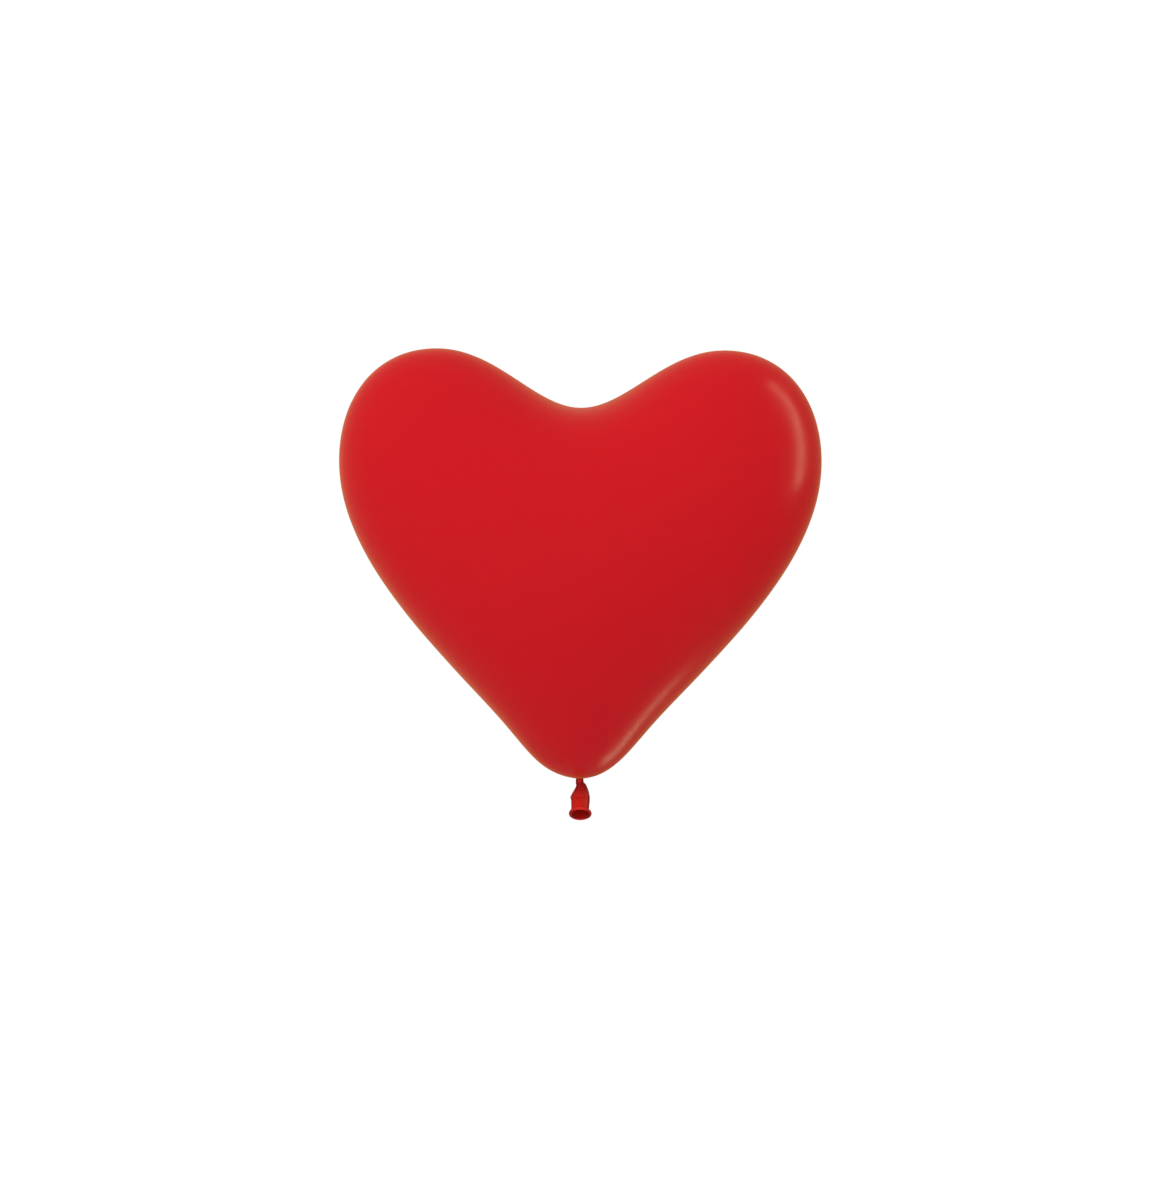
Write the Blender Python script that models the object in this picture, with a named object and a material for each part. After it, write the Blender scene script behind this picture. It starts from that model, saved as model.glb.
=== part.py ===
"""A heart-shaped latex balloon, inflated and tied off at the neck.

The origin is on the underside of the inflated body, where the neck leaves it. +Z runs up through
the cleft, +X points to the right-hand lobe and -Y to the front. All sizes are in metres.

The body's shape is that of a stretched film over a heart-shaped outline: its half depth squared
follows the membrane function of the outline, the solution of Poisson's equation that is zero on it.
"""

import math

import bpy
import numpy as np

# The heart's outline, seen from the front
WIDTH = 0.305  # across the two lobes
HEIGHT = 0.2712  # from the throat up to the tops of the lobes
CLEFT_DROP = 0.037  # from the tops of the lobes down to the bottom of the cleft
LOBE_SPACING = 0.182  # between the tops of the two lobes
WIDEST_DROP = 0.0709  # from the tops of the lobes down to where the outline is at its widest
TIP_HALF_WIDTH = 0.0492  # where each straight flank goes over into the round tip
TIP_HEIGHT = 0.037
FLANK_BULGE = math.radians(10.1)  # by which a flank's lower end turns from the line to the widest point

# How far each stretch of the outline keeps its end's direction, as a share of the stretch
CLEFT_EASE = (0.292, 0.391)
LOBE_EASE = (0.398, 0.440)
FLANK_EASE = (0.322, 0.316)
TIP_EASE = (0.357, 0.365)

# The inflated body
DEPTH = 0.165  # front to back
BODY_FILM = 0.00002  # thickness of the stretched film

# The throat and the knot round it
CLEARANCE = 0.0003  # between neighbouring pieces
THROAT_RADIUS = 0.0012  # the gathered film inside the knot
THROAT_TOP = 0.0008  # how far the gathered film reaches into the body
KNOT_RADIUS = 0.00235

# The tail: the gathered cone, the straight sleeve and the rolled bead round the mouth
NECK_FILM = 0.00025  # thickness of the unstretched neck film
CREASE_HEIGHT = -0.0123  # where the cone goes over into the sleeve
CUP_TOP_ANGLE = math.radians(-15)  # how high the cone reaches round the knot
CUP_FOOT_ANGLE = math.radians(-50)
SLEEVE_RADIUS = 0.0059  # outside the film
SLEEVE_LENGTH = 0.0116  # from the crease to the middle of the bead
SLEEVE_TILT = math.radians(-33)  # the sleeve hangs forward, so its mouth shows
BEAD_OVERHANG = 0.0003  # of the middle of the roll outside the sleeve
BEAD_THICKNESS = 0.0021

# The point inside the body that its grid is laid out from
CENTRE_HEIGHT = 0.6 * (HEIGHT - CLEFT_DROP)

# How finely round shapes are divided
OUTLINE_STEPS = 60  # points on each stretch of the outline
MIDDLE_TERMS = 24  # of the membrane function, about the body's centre
NOTCH_TERMS = 6  # of the membrane function, about a point in the notch over the cleft
NOTCH_SCALE = 0.1  # keeps the notch's terms of a size with the others
BODY_SEGMENTS = 48  # round the body's upright axis
BODY_RINGS = 30  # from the throat to the cleft
NECK_SEGMENTS = 24
ARC_STEPS = 6  # points on an arc of a turned profile
BEAD_STEPS = 12
SEARCH_STEPS = 40  # halvings of a ray's length in the search for the film

LATEX_RED = (0.64, 0.014, 0.018, 1.0)  # linear
LATEX_ROUGHNESS = 0.28


def clear_scene():
    for old in list(bpy.data.objects):
        bpy.data.objects.remove(old)


def latex(name, shade):
    """A dyed natural-rubber film; shade darkens it where the film is gathered thickly."""
    material = bpy.data.materials.new(name)
    material.use_nodes = True
    shader = material.node_tree.nodes["Principled BSDF"]
    red, green, blue, alpha = LATEX_RED
    shader.inputs["Base Color"].default_value = (red * shade, green * shade, blue * shade, alpha)
    shader.inputs["Roughness"].default_value = LATEX_ROUGHNESS
    shader.inputs["Metallic"].default_value = 0.0
    return material


# ---- The heart's outline and its membrane function ----


def bezier(start, start_handle, end_handle, end):
    """Points of a cubic Bezier curve, without its last point."""
    t = np.linspace(0, 1, OUTLINE_STEPS, endpoint=False)[:, None]
    return (
        (1 - t) ** 3 * start
        + 3 * (1 - t) ** 2 * t * start_handle
        + 3 * (1 - t) * t**2 * end_handle
        + t**3 * end
    )


def stretch(start, start_direction, end, end_direction, ease):
    """One stretch of the outline, leaving start and reaching end in the directions given."""
    chord = np.linalg.norm(end - start)
    return bezier(
        start,
        start + ease[0] * chord * start_direction,
        end - ease[1] * chord * end_direction,
        end,
    )


def half_outline():
    """The outline's right-hand half as (x, z) points, from the cleft down to the throat."""
    cleft = np.array((0.0, HEIGHT - CLEFT_DROP))
    lobe_top = np.array((LOBE_SPACING / 2, HEIGHT))
    widest = np.array((WIDTH / 2, HEIGHT - WIDEST_DROP))
    flank_end = np.array((TIP_HALF_WIDTH, TIP_HEIGHT))
    throat = np.array((0.0, 0.0))
    right = np.array((1.0, 0.0))
    down = np.array((0.0, -1.0))
    across, drop = widest - flank_end
    flank_angle = math.atan2(across, drop) + FLANK_BULGE
    along_flank = np.array((-math.sin(flank_angle), -math.cos(flank_angle)))
    return np.concatenate(
        (
            stretch(cleft, right, lobe_top, right, CLEFT_EASE),
            stretch(lobe_top, right, widest, down, LOBE_EASE),
            stretch(widest, down, flank_end, along_flank, FLANK_EASE),
            stretch(flank_end, along_flank, throat, -right, TIP_EASE),
            [throat],
        )
    )


def harmonic_terms(x, z):
    """Harmonic functions of the place, even in x as the heart is, and its squared distance from the centre.

    They are the real parts of the powers of z + ix about the body's centre, and of its inverse
    powers about a point level with the lobe tops, in the notch between them.
    """
    place = ((z - CENTRE_HEIGHT) + 1j * x) / HEIGHT
    from_notch = ((z - HEIGHT) + 1j * x) / HEIGHT
    terms = [(place**n).real for n in range(MIDDLE_TERMS)]
    terms += [((NOTCH_SCALE / from_notch) ** n).real for n in range(1, NOTCH_TERMS + 1)]
    return np.stack(terms, axis=-1), np.abs(place) ** 2


def membrane_function(outline):
    """A function of (x, z) that is 0 on the outline and 1 at its highest, a soap film's height."""
    terms, square = harmonic_terms(outline[:, 0], outline[:, 1])
    weights = np.linalg.lstsq(terms, square, rcond=None)[0]

    def height(x, z):
        terms, square = harmonic_terms(x, z)
        return terms @ weights - square

    centre = np.array((0.0, CENTRE_HEIGHT))
    shares = np.linspace(0, 1, OUTLINE_STEPS)[:, None, None]
    inside = centre + shares * (outline - centre)
    highest = height(inside[..., 0], inside[..., 1]).max()
    return lambda x, z: height(x, z) / highest


def ray_directions():
    """Unit vectors from the body's centre, ring by ring from the throat's hole up to the cleft.

    Round the hole they are even in angle. Towards the body's middle they turn to an ellipse's own
    spacing, which puts more of them where the rim of the heart curves most.
    """
    hole = math.atan((THROAT_RADIUS + CLEARANCE) / CENTRE_HEIGHT)
    up = np.linspace(hole, math.pi, BODY_RINGS + 1)[:-1, None]
    even = np.linspace(0, 2 * math.pi, BODY_SEGMENTS, endpoint=False)[None, :]
    bunching = 1 + (DEPTH / WIDTH - 1) * np.sin(up - hole)
    round_ = np.arctan2(bunching * np.sin(even), np.cos(even))
    along = (np.sin(up) * np.cos(round_), np.sin(up) * np.sin(round_), -np.cos(up))
    return np.stack(np.broadcast_arrays(*along), axis=-1)


def ray_lengths(directions, outline, membrane):
    """How far the film is from the body's centre along each direction, found by halving."""
    along_x, along_y, along_z = np.moveaxis(directions, -1, 0)
    from_centre = outline - (0.0, CENTRE_HEIGHT)
    angles = np.arctan2(from_centre[:, 0], from_centre[:, 1])
    reach = np.interp(
        np.arctan2(np.abs(along_x), along_z), angles, np.linalg.norm(from_centre, axis=1)
    )
    to_outline = reach / np.maximum(np.hypot(along_x, along_z), 1e-9)
    to_depth = DEPTH / 2 / np.maximum(np.abs(along_y), 1e-9)
    far = np.minimum(to_outline, to_depth)
    near = np.zeros_like(far)
    for _ in range(SEARCH_STEPS):
        middle = (near + far) / 2
        half_depth_squared = (DEPTH / 2) ** 2 * membrane(
            middle * along_x, CENTRE_HEIGHT + middle * along_z
        )
        outside = (middle * along_y) ** 2 > half_depth_squared
        far = np.where(outside, middle, far)
        near = np.where(outside, near, middle)
    return far


def grid_faces(rings, segments):
    """Quads between neighbouring rings of a grid that closes round its segments, facing out."""
    ring, segment = np.meshgrid(np.arange(rings - 1), np.arange(segments), indexing="ij")
    after = (segment + 1) % segments
    corners = (
        ring * segments + segment,
        ring * segments + after,
        (ring + 1) * segments + after,
        (ring + 1) * segments + segment,
    )
    return np.stack(corners, axis=-1).reshape(-1, 4).tolist()


def build_envelope():
    """The inflated body: a thin film, open only where it is gathered into the throat."""
    outline = half_outline()
    membrane = membrane_function(outline)
    directions = ray_directions()
    lengths = ray_lengths(directions, outline, membrane)
    centre = np.array((0.0, 0.0, CENTRE_HEIGHT))
    points = (centre + directions * lengths[..., None]).reshape(-1, 3).tolist()
    points.append((0.0, 0.0, HEIGHT - CLEFT_DROP))
    faces = grid_faces(BODY_RINGS, BODY_SEGMENTS)
    top_ring = (BODY_RINGS - 1) * BODY_SEGMENTS
    faces += [
        (top_ring + i, top_ring + (i + 1) % BODY_SEGMENTS, len(points) - 1)
        for i in range(BODY_SEGMENTS)
    ]
    mesh = bpy.data.meshes.new("heart_envelope")
    mesh.from_pydata(points, [], faces)
    mesh.shade_smooth()
    envelope = add_object("heart_envelope", mesh, latex("latex_stretched", 1.0))
    film = envelope.modifiers.new("film_thickness", "SOLIDIFY")
    film.thickness = BODY_FILM
    film.offset = -1.0
    film.use_even_offset = True
    return envelope


# ---- Turned pieces of the neck ----


def add_object(name, mesh, material):
    thing = bpy.data.objects.new(name, mesh)
    bpy.context.scene.collection.objects.link(thing)
    mesh.materials.append(material)
    return thing


def arc(radius, start, end, steps, middle=(0.0, 0.0)):
    """(r, z) points on a circle's arc, both ends included; angles count up from the level."""
    angles = np.linspace(start, end, steps)
    return [(middle[0] + radius * math.cos(a), middle[1] + radius * math.sin(a)) for a in angles]


def turned(name, profile, material, closed=True):
    """A solid turned about Z from an (r, z) profile that runs down its outer side."""
    mesh = bpy.data.meshes.new(name)
    edges = [(i, i + 1) for i in range(len(profile) - 1)]
    if closed:
        edges.append((len(profile) - 1, 0))
    mesh.from_pydata([(r, 0.0, z) for r, z in profile], edges, [])
    thing = add_object(name, mesh, material)
    screw = thing.modifiers.new("turned", "SCREW")
    screw.steps = NECK_SEGMENTS
    screw.render_steps = NECK_SEGMENTS
    screw.use_smooth_shade = True
    screw.use_merge_vertices = True
    screw.merge_threshold = 0.00001
    return thing


def knot_half_height():
    """Half the knot's height: it is a ball with the throat's bore through it."""
    return math.sqrt(KNOT_RADIUS**2 - (THROAT_RADIUS + CLEARANCE) ** 2)


def knot_height():
    """The height of the knot's middle, just under the body."""
    return -CLEARANCE - knot_half_height()


def build_throat_core():
    """The gathered film as a round-ended rope, from inside the body to the knot's underside."""
    top = THROAT_TOP - knot_height() - THROAT_RADIUS
    foot = THROAT_RADIUS - knot_half_height()
    quarter = math.pi / 2
    profile = arc(THROAT_RADIUS, quarter, 0, ARC_STEPS, (0.0, top))
    profile += arc(THROAT_RADIUS, 0, -quarter, ARC_STEPS, (0.0, foot))
    core = turned("throat_core", profile, latex("latex_gathered", 0.5), closed=False)
    core.location.z = knot_height()


def build_knot_wrap():
    """The turn of neck film round the throat."""
    bore = THROAT_RADIUS + CLEARANCE
    reach = math.acos(bore / KNOT_RADIUS)
    profile = arc(KNOT_RADIUS, reach, -reach, 2 * ARC_STEPS)
    wrap = turned("knot_wrap", profile, latex("latex_wound", 0.7))
    wrap.location.z = knot_height()


def build_gather():
    """The cone of pleated film: a cup round the knot's lower half that flares down to the crease."""
    cup = KNOT_RADIUS + CLEARANCE
    rim = SLEEVE_RADIUS - NECK_FILM - CLEARANCE
    rim_height = CREASE_HEIGHT - knot_height()
    outer = arc(cup + NECK_FILM, CUP_TOP_ANGLE, CUP_FOOT_ANGLE / 2, ARC_STEPS // 2)
    outer.append((rim, rim_height))
    inner = [(rim - NECK_FILM, rim_height)]
    inner += arc(cup, CUP_FOOT_ANGLE, CUP_TOP_ANGLE, ARC_STEPS)
    gather = turned("neck_gather", outer + inner, latex("latex_pleated", 0.85))
    gather.location.z = knot_height()


def build_sleeve(fold):
    """The straight neck tube, from the crease down to the bead."""
    end = BEAD_THICKNESS / 2 + CLEARANCE - SLEEVE_LENGTH
    inside = SLEEVE_RADIUS - NECK_FILM
    profile = [(SLEEVE_RADIUS, 0.0), (SLEEVE_RADIUS, end), (inside, end), (inside, 0.0)]
    sleeve = turned("neck_sleeve", profile, latex("latex_relaxed", 0.85))
    sleeve.parent = fold


def build_bead(fold):
    """The lip of the neck, rolled on itself into a ring."""
    middle = (SLEEVE_RADIUS + BEAD_OVERHANG, -SLEEVE_LENGTH)
    full_turn = arc(BEAD_THICKNESS / 2, math.pi / 2, -1.5 * math.pi, BEAD_STEPS + 1, middle)
    bead = turned("rolled_bead", full_turn[:-1], latex("latex_rolled", 0.6))
    bead.parent = fold


def build_tail():
    """The sleeve and the bead, which hang from the crease and fold about it."""
    fold = bpy.data.objects.new("sleeve_fold", None)
    bpy.context.scene.collection.objects.link(fold)
    fold.location.z = CREASE_HEIGHT
    fold.rotation_euler.x = SLEEVE_TILT
    build_sleeve(fold)
    build_bead(fold)


def main():
    clear_scene()
    build_envelope()
    build_throat_core()
    build_knot_wrap()
    build_gather()
    build_tail()


main()
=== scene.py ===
"""A heart-shaped latex balloon, tied off at the neck: its fine surfaces, finishes and studio.

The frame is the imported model: the origin is on the underside of the inflated body, where the neck
leaves it, +Z runs up through the cleft, +X to the right-hand lobe and -Y to the front. The script
covers that frame with six surfaces, each worked out from a formula, and lights them plainly.
All sizes are in metres unless a name says millimetres.
"""

import math

import bpy
import numpy as np
from mathutils import Matrix, Vector


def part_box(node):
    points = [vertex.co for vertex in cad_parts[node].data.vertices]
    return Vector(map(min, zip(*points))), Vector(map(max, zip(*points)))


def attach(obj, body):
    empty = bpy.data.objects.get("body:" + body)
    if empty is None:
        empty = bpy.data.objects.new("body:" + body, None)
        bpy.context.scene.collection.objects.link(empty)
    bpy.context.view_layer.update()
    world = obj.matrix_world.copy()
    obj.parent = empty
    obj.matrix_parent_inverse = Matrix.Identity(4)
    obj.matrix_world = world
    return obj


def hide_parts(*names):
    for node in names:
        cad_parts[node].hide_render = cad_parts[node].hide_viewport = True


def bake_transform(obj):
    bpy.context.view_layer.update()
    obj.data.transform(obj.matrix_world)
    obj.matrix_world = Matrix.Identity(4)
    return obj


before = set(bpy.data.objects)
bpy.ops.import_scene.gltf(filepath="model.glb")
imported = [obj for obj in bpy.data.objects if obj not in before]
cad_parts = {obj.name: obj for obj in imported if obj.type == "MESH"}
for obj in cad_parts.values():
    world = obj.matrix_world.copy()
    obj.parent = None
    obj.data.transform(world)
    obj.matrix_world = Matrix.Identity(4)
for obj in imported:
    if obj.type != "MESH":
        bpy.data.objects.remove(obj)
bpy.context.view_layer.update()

bl_info = {
    "name": "Heart balloon",
    "version": (1, 0, 0),
    "blender": (4, 5, 0),
    "location": "3D View > Sidebar > Heart balloon",
    "description": "Makes a tied, heart-shaped latex balloon and a plain studio round it",
    "category": "Object",
}

MM = 0.001
FRONT = -math.pi / 2  # the angle round the neck that faces the viewer


def linear_from_hex(code):
    """The linear colour of an sRGB hex code such as #C81E1E."""
    shares = [int(code[i : i + 2], 16) / 255 for i in (1, 3, 5)]
    return tuple(s / 12.92 if s <= 0.04045 else ((s + 0.055) / 1.055) ** 2.4 for s in shares)


# ---- Sizes and colours that a user would change ----


def length(name, description, default):
    return bpy.props.FloatProperty(
        name=name, description=description, default=default, precision=5, unit="LENGTH"
    )


def angle(name, description, default):
    return bpy.props.FloatProperty(
        name=name, description=description, default=default, unit="ROTATION"
    )


def colour(name, description, code):
    return bpy.props.FloatVectorProperty(
        name=name, description=description, default=linear_from_hex(code), subtype="COLOR", size=3
    )


class BodySizes(bpy.types.PropertyGroup):
    """The inflated body: the heart's outline seen from the front, and its depth."""

    width: length("Width", "Across the two lobes", 0.305)
    height: length("Height", "From the throat up to the tops of the lobes", 0.2712)
    cleft_drop: length("Cleft drop", "From the lobe tops down to the bottom of the cleft", 0.0370)
    lobe_spacing: length("Lobe spacing", "Between the tops of the two lobes", 0.182)
    widest_drop: length("Widest drop", "From the lobe tops down to the widest place", 0.0709)
    tip_half_width: length("Tip half width", "Half width where the round tip begins", 0.0492)
    tip_height: length("Tip height", "Height where the round tip begins", 0.037)
    flank_bulge: angle("Flank bulge", "Turn of a flank's lower end", math.radians(10.1))
    depth: length("Depth", "Front to back", 0.165)
    pucker_reach: length("Pucker reach", "How far the throat's puckers run out", 0.009)
    pucker_height: length("Pucker height", "Height of the puckers beside the throat", 0.00022)
    puckers: bpy.props.IntProperty(name="Puckers", description="Folds round the throat", default=18)


class NeckSizes(bpy.types.PropertyGroup):
    """The tied neck: rope, knot, pleated cone, sleeve and bead."""

    rope_radius: length("Rope radius", "Of the film gathered through the knot", 0.00135)
    knot_radius: length("Knot radius", "Over the turn of film that ties the throat", 0.00245)
    film: length("Film thickness", "Of the unstretched neck film", 0.00025)
    pleats: bpy.props.IntProperty(name="Pleats", description="Folds in the cone", default=13)
    pleat_depth: length("Pleat depth", "Of the folds beside the knot", 0.0009)
    sleeve_tilt: angle("Sleeve tilt", "Forward lean of the sleeve", math.radians(36))
    bend_depth: length("Bend depth", "From the throat down to where the neck bends forward", 0.0136)
    sleeve_length: length("Sleeve length", "From the bend to the bead's middle", 0.0099)
    bead_ring: length("Bead ring radius", "From the sleeve's axis to the roll", 0.0062)
    side_step: length("Side step", "Of the neck to the right of the body's middle", 0.00105)
    bead_radius: length("Bead radius", "Of the roll itself", 0.00103)


class Finishes(bpy.types.PropertyGroup):
    """The dyed rubber's colours, with painted glow in the neck's relaxed film and the painted shade
    that the neck mixes towards its gathered colour.
    """

    stretched: colour("Stretched film", "The body, where the film is thinnest", "#DA1C25")
    full: colour("Less stretched film", "The body towards the throat", "#C81B24")
    # The neck's own red, made lighter and more orange as painted glow of the light that shines
    # through its film.
    relaxed_with_painted_glow: colour("Relaxed film", "The neck's smooth film", "#EC2D22")
    # This deep colour is the film's own many layers in a fold, and also the painted shade that the
    # neck's shaded places mix towards.
    gathered: colour("Gathered film", "The bottom of a fold, many layers deep", "#560716")
    rim: colour("Bloom", "The faint bloom that shows at glancing angles", "#FF9A46")


class StudioSizes(bpy.types.PropertyGroup):
    """The camera, the floor and the lights."""

    lens: bpy.props.FloatProperty(name="Lens", description="Focal length in mm", default=100.0)
    distance: length("Camera distance", "From the camera to the balloon's middle plane", 2.0725)
    camera_height: length("Camera height", "Above the throat", 0.1191)
    camera_side: length("Camera side step", "To the right of the balloon's middle", 0.0007)
    roll: angle("Camera roll", "Lean of the camera to the left", math.radians(0.42))
    floor_drop: length("Floor drop", "From the throat down to the floor", 0.62)
    floor_radius: length("Floor radius", "Of the round floor", 1.8)
    floor_forward: length("Floor forward", "Of the floor's middle in front of the balloon", 1.3)
    floor_colour: colour("Floor colour", "Of the floor's matt paper", "#F7F7F6")
    surround: bpy.props.FloatProperty(
        name="Surround", description="Mean brightness of the white surroundings", default=0.72
    )
    slope: bpy.props.FloatProperty(
        name="Slope", description="How much brighter they are on the side of the key", default=0.49
    )
    key_turn: angle("Key turn", "Direction of the bright side, to the left", math.radians(34))
    key_rise: angle("Key rise", "Direction of the bright side, above level", math.radians(33))


# ---- Surfaces ----


def smooth_step(values, low, high):
    """Rises from 0 at low to 1 at high along 3t^2 - 2t^3."""
    t = np.clip((values - low) / (high - low), 0.0, 1.0)
    return t * t * (3.0 - 2.0 * t)


def through_stations(stations, places):
    """Passes smoothly through (place, value) stations.

    A cubic Hermite curve between each two, with slopes from the chords to the neighbours.
    """
    at, value = np.array(stations, float).T
    slopes = np.gradient(value, at)
    index = np.clip(np.searchsorted(at, places) - 1, 0, len(at) - 2)
    span = at[index + 1] - at[index]
    t = np.clip((places - at[index]) / span, 0.0, 1.0)
    return (
        (1 + 2 * t) * (1 - t) ** 2 * value[index]
        + t * (1 - t) ** 2 * span * slopes[index]
        + t**2 * (3 - 2 * t) * value[index + 1]
        - t**2 * (1 - t) * span * slopes[index + 1]
    )


def with_swings(start, around, swings):
    """A start value plus sines of the angle round, each given as (size, times round, shift)."""
    total = start
    for size, times_round, shift in swings:
        total = total + size * np.sin(times_round * around + shift)
    return total


def grid_faces(rows, columns, closed_rows):
    """Quads between neighbouring points of a grid whose columns close round."""
    last = rows if closed_rows else rows - 1
    row, column = np.meshgrid(np.arange(last), np.arange(columns), indexing="ij")
    below = (row + 1) % rows
    after = (column + 1) % columns
    corners = (
        row * columns + column,
        below * columns + column,
        below * columns + after,
        row * columns + after,
    )
    return np.stack(corners, axis=-1).reshape(-1, 4).tolist()


def pole_faces(ring_start, columns, pole, outward_first):
    """Triangles from one ring of a grid to its pole."""
    here = np.arange(columns) + ring_start
    after = (np.arange(columns) + 1) % columns + ring_start
    pair = (here, after) if outward_first else (after, here)
    return np.stack((*pair, np.full(columns, pole)), axis=-1).tolist()


def add_surface(
    name, grid, material, first_pole=None, last_pole=None, closed_rows=False, layers=None
):
    """A mesh from a grid of points (rows, columns, 3) that closes round its columns.

    Rows run down and columns run counter-clockwise as seen from above, so the faces point out.
    layers holds arrays of the grid's size that the material reads by name.
    """
    rows, columns = grid.shape[:2]
    points = grid.reshape(-1, 3).tolist()
    faces = grid_faces(rows, columns, closed_rows)
    if first_pole is not None:
        points.append(first_pole)
        faces += pole_faces(0, columns, len(points) - 1, True)
    if last_pole is not None:
        points.append(last_pole)
        faces += pole_faces((rows - 1) * columns, columns, len(points) - 1, False)
    mesh = bpy.data.meshes.new(name)
    mesh.from_pydata(points, [], faces)
    mesh.shade_smooth()
    mesh.materials.append(material)
    for layer, values in (layers or {}).items():
        flat = np.zeros(len(points), np.float32)
        flat[: values.size] = values.ravel()
        flat[values.size :] = values.ravel()[-1]
        mesh.attributes.new(layer, "FLOAT", "POINT").data.foreach_set("value", flat)
    piece = bpy.data.objects.new(name, mesh)
    bpy.context.scene.collection.objects.link(piece)
    return piece


def grid_normals(grid):
    """Unit normals of a grid, from the cross product of its central differences."""
    down = np.gradient(grid, axis=0)
    around = np.roll(grid, -1, axis=1) - np.roll(grid, 1, axis=1)
    normals = np.cross(down, around)
    return normals / np.linalg.norm(normals, axis=-1, keepdims=True)


def with_inner_wall(grid, thickness):
    """Rows of a closed film: the outer wall down, then the inner one back up.

    The inner wall is the outer one moved in by the thickness along its normals.
    """
    inner = grid - grid_normals(grid) * thickness
    return np.concatenate((grid, inner[::-1]), axis=0)


# ---- The inflated body ----

OUTLINE_STEPS = 120  # points on each stretch of the outline
MIDDLE_TERMS = 24  # of the membrane function, about the body's middle
NOTCH_TERMS = 6  # about a point in the notch over the cleft
NOTCH_SCALE = 0.1  # keeps the notch's terms of a size with the others
HALVINGS = 36  # of a ray, in the search for the film
BODY_COLUMNS = 240
THROAT_ROWS = 34
BODY_ROWS = 190
# Where the fine rows end: an angle up from the throat, seen from the middle
THROAT_ROWS_END = 0.075
SMALLEST = 1e-9  # keeps a division by a ray's direction from failing
RAYS_START = 0.6  # of the cleft's height: the middle that the rays to the film start from
COLOUR_SPAN = 0.75  # of the height, over which the film gets fuller in colour towards the throat
COLOUR_FADE = 1.5  # power by which it does
PUCKER_PAINTED_SHADE = 0.8  # painted shade: how much darker the puckers' hollows are

# How far each stretch of the outline keeps its end's direction, as a share of the stretch
CLEFT_EASE = (0.292, 0.391)
LOBE_EASE = (0.398, 0.440)
FLANK_EASE = (0.322, 0.316)
TIP_EASE = (0.357, 0.365)

# The puckers round the throat, with swings as in with_swings
PUCKER_SPACING = ((0.12, 2, 0.6), (0.07, 5, 0.0))  # makes them unevenly spaced
PUCKER_MEAN = 0.75  # of the tallest one's height
PUCKER_HEIGHTS = ((0.25, 3, 1.0),)  # swings about that
PUCKER_START = 2.2  # radii of the hole from its middle, where they reach their full height
FUNNEL_DEPTH = 0.6 * MM  # by which the film beside the hole is drawn down into the knot
FUNNEL_SPAN = (0.8, 1.8)  # radii of the hole, between which that drop runs out
SIDE_STEP_SPAN = 3  # times the puckers' reach, over which the step to the side runs out


def stretch(start, start_direction, end, end_direction, ease):
    """Points of a cubic Bezier that leaves start and reaches end in the directions given.

    The last point is left out, because the next stretch begins there.
    """
    chord = np.linalg.norm(end - start)
    first = start + ease[0] * chord * start_direction
    second = end - ease[1] * chord * end_direction
    t = np.linspace(0, 1, OUTLINE_STEPS, endpoint=False)[:, None]
    return (
        (1 - t) ** 3 * start
        + 3 * (1 - t) ** 2 * t * first
        + 3 * (1 - t) * t**2 * second
        + t**3 * end
    )


def half_outline(sizes):
    """The outline's right-hand half as (x, z) points, from the cleft down to the throat."""
    cleft = np.array((0.0, sizes.height - sizes.cleft_drop))
    lobe_top = np.array((sizes.lobe_spacing / 2, sizes.height))
    widest = np.array((sizes.width / 2, sizes.height - sizes.widest_drop))
    flank_end = np.array((sizes.tip_half_width, sizes.tip_height))
    throat = np.array((0.0, 0.0))
    right = np.array((1.0, 0.0))
    down = np.array((0.0, -1.0))
    across, drop = widest - flank_end
    flank_angle = math.atan2(across, drop) + sizes.flank_bulge
    along_flank = np.array((-math.sin(flank_angle), -math.cos(flank_angle)))
    stretches = (
        stretch(cleft, right, lobe_top, right, CLEFT_EASE),
        stretch(lobe_top, right, widest, down, LOBE_EASE),
        stretch(widest, down, flank_end, along_flank, FLANK_EASE),
        stretch(flank_end, along_flank, throat, -right, TIP_EASE),
        [throat],
    )
    return np.concatenate(stretches)


def harmonic_terms(x, z, centre, height):
    """Harmonic functions of the place, and its squared distance from the body's middle.

    They are the real parts of the powers of z + ix about the middle, and of its inverse powers
    about a point level with the lobe tops, in the notch between them.
    """
    place = ((z - centre) + 1j * x) / height
    from_notch = ((z - height) + 1j * x) / height
    terms = [(place**n).real for n in range(MIDDLE_TERMS)]
    terms += [((NOTCH_SCALE / from_notch) ** n).real for n in range(1, NOTCH_TERMS + 1)]
    return np.stack(terms, axis=-1), np.abs(place) ** 2


def membrane_function(outline, centre, height):
    """A soap film's height over the outline, 1 at its highest.

    It is a sum of harmonic functions less the distance squared, fitted to be zero on the outline.
    """
    terms, square = harmonic_terms(outline[:, 0], outline[:, 1], centre, height)
    weights = np.linalg.lstsq(terms, square, rcond=None)[0]

    def rise(x, z):
        terms, square = harmonic_terms(x, z, centre, height)
        return terms @ weights - square

    middle = np.array((0.0, centre))
    inside = middle + np.linspace(0, 1, OUTLINE_STEPS)[:, None, None] * (outline - middle)
    highest = rise(inside[..., 0], inside[..., 1]).max()
    return lambda x, z: rise(x, z) / highest


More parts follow.
